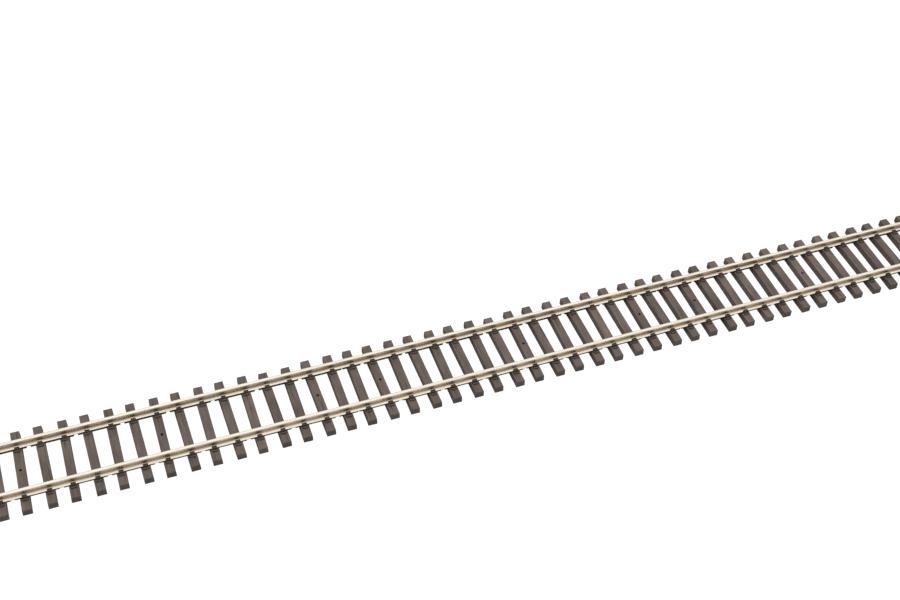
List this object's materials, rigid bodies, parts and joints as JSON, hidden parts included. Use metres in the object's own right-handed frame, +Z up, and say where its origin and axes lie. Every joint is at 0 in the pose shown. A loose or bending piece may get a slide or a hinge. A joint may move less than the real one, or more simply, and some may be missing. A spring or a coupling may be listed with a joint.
{
  "type": "model track section",
  "caption": "Straight flexible model railway track: flat-bottomed metal rails that slide in the chairs of moulded plastic sleeper strips joined by cut webs.",
  "frame": {"origin": "on the bench under the centre of the track: midway along the rails and midway between them", "axes": "+X along the rails, +Y across the track to the back rail, +Z up from the bench"},
  "size_m": [0.3228, 0.0288, 0.005],
  "materials": {
    "sleeper_plastic": "dark brown-grey moulded plastic with a wood grain texture",
    "rail_metal": "drawn nickel silver, bright on the running surface"
  },
  "bodies": {
    "strip_middle": {"sleeper_middle_01": "sleeper_plastic", "sleeper_middle_02": "sleeper_plastic", "sleeper_middle_03": "sleeper_plastic", "sleeper_middle_04": "sleeper_plastic", "sleeper_middle_05": "sleeper_plastic", "sleeper_middle_06": "sleeper_plastic", "sleeper_middle_07": "sleeper_plastic", "sleeper_middle_08": "sleeper_plastic", "sleeper_middle_09": "sleeper_plastic", "sleeper_middle_10": "sleeper_plastic", "sleeper_middle_11": "sleeper_plastic", "sleeper_middle_12": "sleeper_plastic", "sleeper_middle_13": "sleeper_plastic", "sleeper_middle_14": "sleeper_plastic", "sleeper_middle_15": "sleeper_plastic", "sleeper_middle_16": "sleeper_plastic"},
    "strip_left": {"sleeper_left_01": "sleeper_plastic", "sleeper_left_02": "sleeper_plastic", "sleeper_left_03": "sleeper_plastic", "sleeper_left_04": "sleeper_plastic", "sleeper_left_05": "sleeper_plastic", "sleeper_left_06": "sleeper_plastic", "sleeper_left_07": "sleeper_plastic", "sleeper_left_08": "sleeper_plastic", "sleeper_left_09": "sleeper_plastic", "sleeper_left_10": "sleeper_plastic", "sleeper_left_11": "sleeper_plastic", "sleeper_left_12": "sleeper_plastic", "sleeper_left_13": "sleeper_plastic", "sleeper_left_14": "sleeper_plastic", "sleeper_left_15": "sleeper_plastic", "sleeper_left_16": "sleeper_plastic"},
    "strip_right": {"sleeper_right_01": "sleeper_plastic", "sleeper_right_02": "sleeper_plastic", "sleeper_right_03": "sleeper_plastic", "sleeper_right_04": "sleeper_plastic", "sleeper_right_05": "sleeper_plastic", "sleeper_right_06": "sleeper_plastic", "sleeper_right_07": "sleeper_plastic", "sleeper_right_08": "sleeper_plastic", "sleeper_right_09": "sleeper_plastic", "sleeper_right_10": "sleeper_plastic", "sleeper_right_11": "sleeper_plastic", "sleeper_right_12": "sleeper_plastic", "sleeper_right_13": "sleeper_plastic", "sleeper_right_14": "sleeper_plastic", "sleeper_right_15": "sleeper_plastic", "sleeper_right_16": "sleeper_plastic"},
    "rail_front": {"rail_front": "rail_metal"},
    "rail_back": {"rail_back": "rail_metal"}
  },
  "joints": [
    {"name": "rail_front_slide", "type": "slide", "parent": "strip_middle", "child": "rail_front", "axis": [1, 0, 0], "range_m": [-0.012, 0.012]},
    {"name": "rail_back_slide", "type": "slide", "parent": "strip_middle", "child": "rail_back", "axis": [1, 0, 0], "range_m": [-0.012, 0.012]},
    {"name": "strip_left_slide", "type": "slide", "parent": "strip_middle", "child": "strip_left", "axis": [-1, 0, 0], "range_m": [0, 0.11]},
    {"name": "strip_right_slide", "type": "slide", "parent": "strip_middle", "child": "strip_right", "axis": [1, 0, 0], "range_m": [0, 0.11]}
  ]
}
